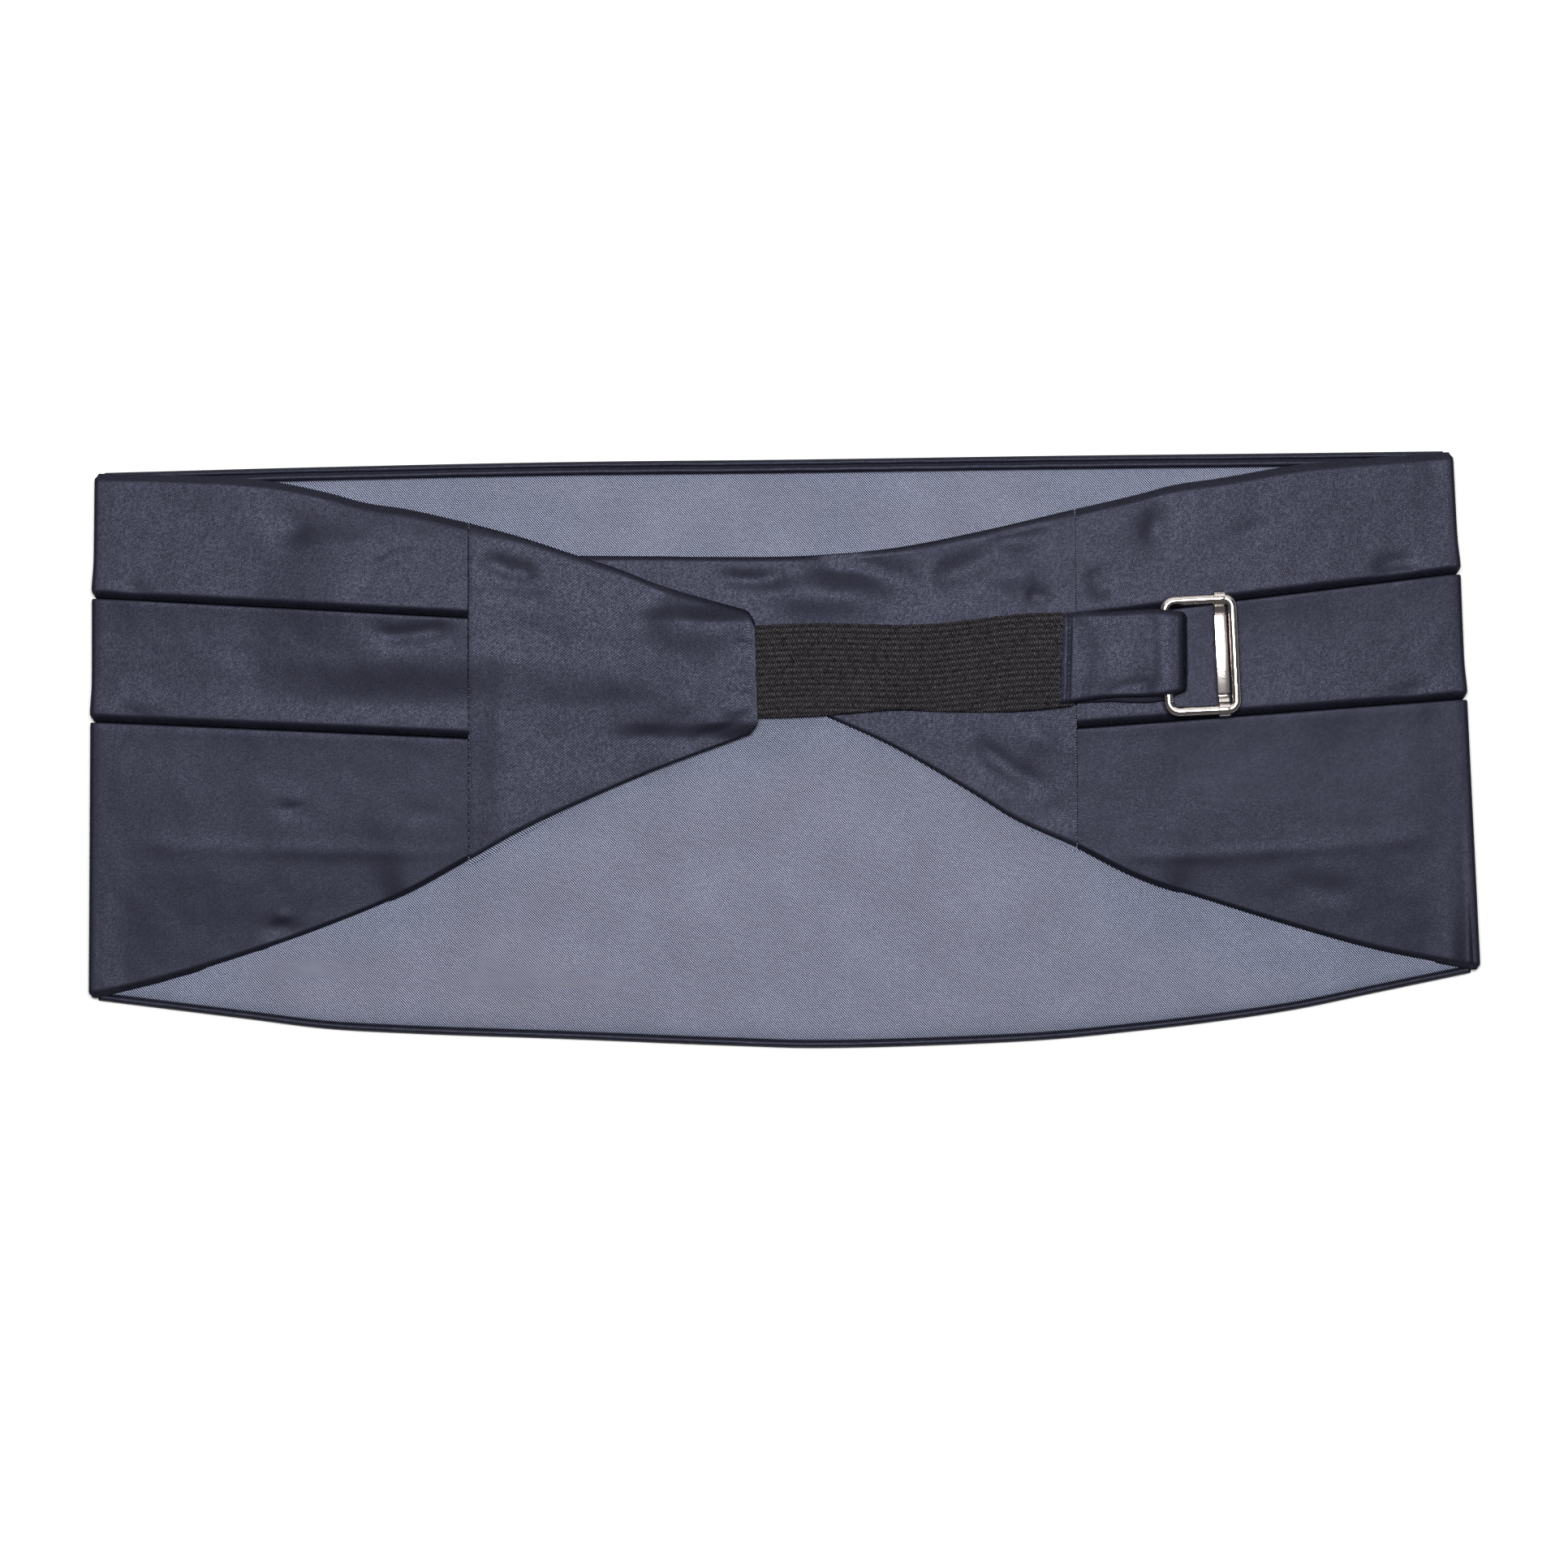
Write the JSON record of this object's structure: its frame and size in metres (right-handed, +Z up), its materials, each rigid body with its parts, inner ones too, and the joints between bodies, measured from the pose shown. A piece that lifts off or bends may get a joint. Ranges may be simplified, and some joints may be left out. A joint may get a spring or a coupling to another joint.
{
  "type": "cummerbund",
  "caption": "Pleated satin cummerbund laid flat, ends folded over its twill lining, with a knitted elastic and a sliding-bar buckle on a satin tab.",
  "frame": {"origin": "on the table under the middle of the garment's outline", "axes": "+X to the right along the waist, +Y towards the waist's upper edge, +Z up from the table"},
  "size_m": [0.3599, 0.1549, 0.0105],
  "materials": {
    "satin": "midnight-blue satin, soft sheen",
    "twill_lining": "grey-blue twill",
    "elastic_knit": "black knitted elastic",
    "satin_nickel": "satin nickel plate"
  },
  "bodies": {
    "garment": {"front_panel": "satin", "front_lining": "twill_lining", "top_binding": "satin", "bottom_binding": "satin", "back_piece_left": "satin", "back_piece_right": "satin", "elastic": "elastic_knit", "buckle_tab": "satin"},
    "buckle": {"buckle_frame": "satin_nickel"},
    "slider": {"slider_bar": "satin_nickel"}
  },
  "joints": [
    {"name": "buckle_swing", "type": "hinge", "parent": "garment", "child": "buckle", "pos_m": [0.09846, 0.02377, 0.00785], "axis": [0.0489, -0.9988, 0], "range_deg": [0, 150]},
    {"name": "slider_slide", "type": "slide", "parent": "buckle", "child": "slider", "axis": [-0.9988, -0.0489, 0], "range_m": [0, 0.0064]}
  ]
}
